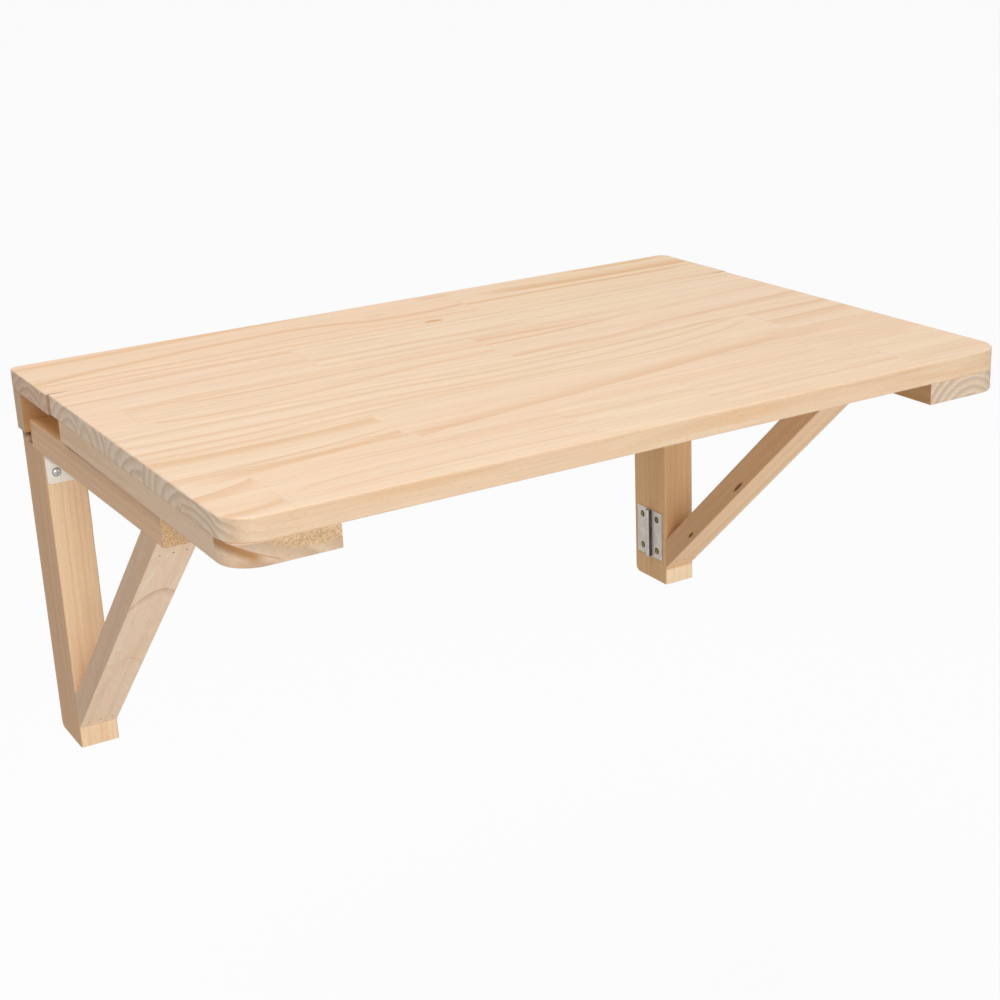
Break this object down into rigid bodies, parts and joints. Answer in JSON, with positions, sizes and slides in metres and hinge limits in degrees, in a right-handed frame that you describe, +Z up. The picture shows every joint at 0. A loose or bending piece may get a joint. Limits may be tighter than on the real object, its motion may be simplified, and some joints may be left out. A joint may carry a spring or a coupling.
{
  "type": "wall mounted drop leaf table",
  "caption": "Pine wall table: a fixed ledge on a wall rail carries a hinged leaf, held up by two braced brackets that swing in so that the leaf can hang down.",
  "frame": {"origin": "centre of the wall rail's rear face, midway between its outer wall screws", "axes": "+X along the wall to the right as seen from the room, +Y into the wall, +Z up"},
  "size_m": [0.704, 0.492, 0.3504],
  "materials": {
    "pine_leaf": "sanded bare pine, edge glued staves",
    "pine_ledge": "sanded bare pine, edge glued staves",
    "pine_batten": "sanded bare pine",
    "pine_frame": "planed bare pine",
    "beech_dowel": "fluted dowel, bare",
    "hinge_zinc": "zinc plated, satin",
    "pin_steel": "plain steel",
    "screw_yellow_zinc": "yellow zinc plated",
    "screw_zinc": "bright zinc plated",
    "angle_white_zinc": "pale zinc plated steel, satin"
  },
  "bodies": {
    "wall_frame": {"leaf_hinge_fixed_screws": "screw_yellow_zinc", "ledge_dowels": "beech_dowel", "left_hinge_fixed_screws": "screw_yellow_zinc", "left_leaf_hinge_fixed_plate": "hinge_zinc", "left_leaf_hinge_pin": "pin_steel", "left_lower_hinge_fixed_plate": "hinge_zinc", "left_lower_hinge_pin": "pin_steel", "left_upper_hinge_fixed_plate": "hinge_zinc", "left_upper_hinge_pin": "pin_steel", "left_wall_post": "pine_frame", "middle_leaf_hinge_fixed_plate": "hinge_zinc", "middle_leaf_hinge_pin": "pin_steel", "rear_ledge": "pine_ledge", "right_hinge_fixed_screws": "screw_yellow_zinc", "right_leaf_hinge_fixed_plate": "hinge_zinc", "right_leaf_hinge_pin": "pin_steel", "right_lower_hinge_fixed_plate": "hinge_zinc", "right_lower_hinge_pin": "pin_steel", "right_upper_hinge_fixed_plate": "hinge_zinc", "right_upper_hinge_pin": "pin_steel", "right_wall_post": "pine_frame", "wall_rail": "pine_frame"},
    "leaf": {"batten_screws": "screw_zinc", "leaf_hinge_moving_screws": "screw_yellow_zinc", "leaf_panel": "pine_leaf", "left_end_batten": "pine_batten", "left_leaf_hinge_moving_plate": "hinge_zinc", "middle_leaf_hinge_moving_plate": "hinge_zinc", "right_end_batten": "pine_batten", "right_leaf_hinge_moving_plate": "hinge_zinc"},
    "left_bracket": {"left_arm": "pine_frame", "left_arm_screws": "screw_zinc", "left_brace": "pine_frame", "left_brace_brads": "screw_zinc", "left_corner_angle": "angle_white_zinc", "left_corner_angle_screws": "screw_zinc", "left_hinge_moving_screws": "screw_yellow_zinc", "left_lower_hinge_moving_plate": "hinge_zinc", "left_swing_post": "pine_frame", "left_upper_hinge_moving_plate": "hinge_zinc"},
    "right_bracket": {"right_arm": "pine_frame", "right_arm_screws": "screw_zinc", "right_brace": "pine_frame", "right_brace_brads": "screw_zinc", "right_corner_angle": "angle_white_zinc", "right_corner_angle_screws": "screw_zinc", "right_hinge_moving_screws": "screw_yellow_zinc", "right_lower_hinge_moving_plate": "hinge_zinc", "right_swing_post": "pine_frame", "right_upper_hinge_moving_plate": "hinge_zinc"}
  },
  "joints": [
    {"name": "leaf_lift", "type": "hinge", "parent": "wall_frame", "child": "leaf", "pos_m": [0, -0.1086, 0.0143], "axis": [-1, 0, 0], "range_deg": [0, 2.5]},
    {"name": "left_bracket_swing", "type": "hinge", "parent": "wall_frame", "child": "left_bracket", "pos_m": [-0.3078, -0.0282, -0.1724], "axis": [0, 0, 1], "range_deg": [0, 90]},
    {"name": "right_bracket_swing", "type": "hinge", "parent": "wall_frame", "child": "right_bracket", "pos_m": [0.3078, -0.0282, -0.1724], "axis": [0, 0, -1], "range_deg": [0, 83]}
  ]
}
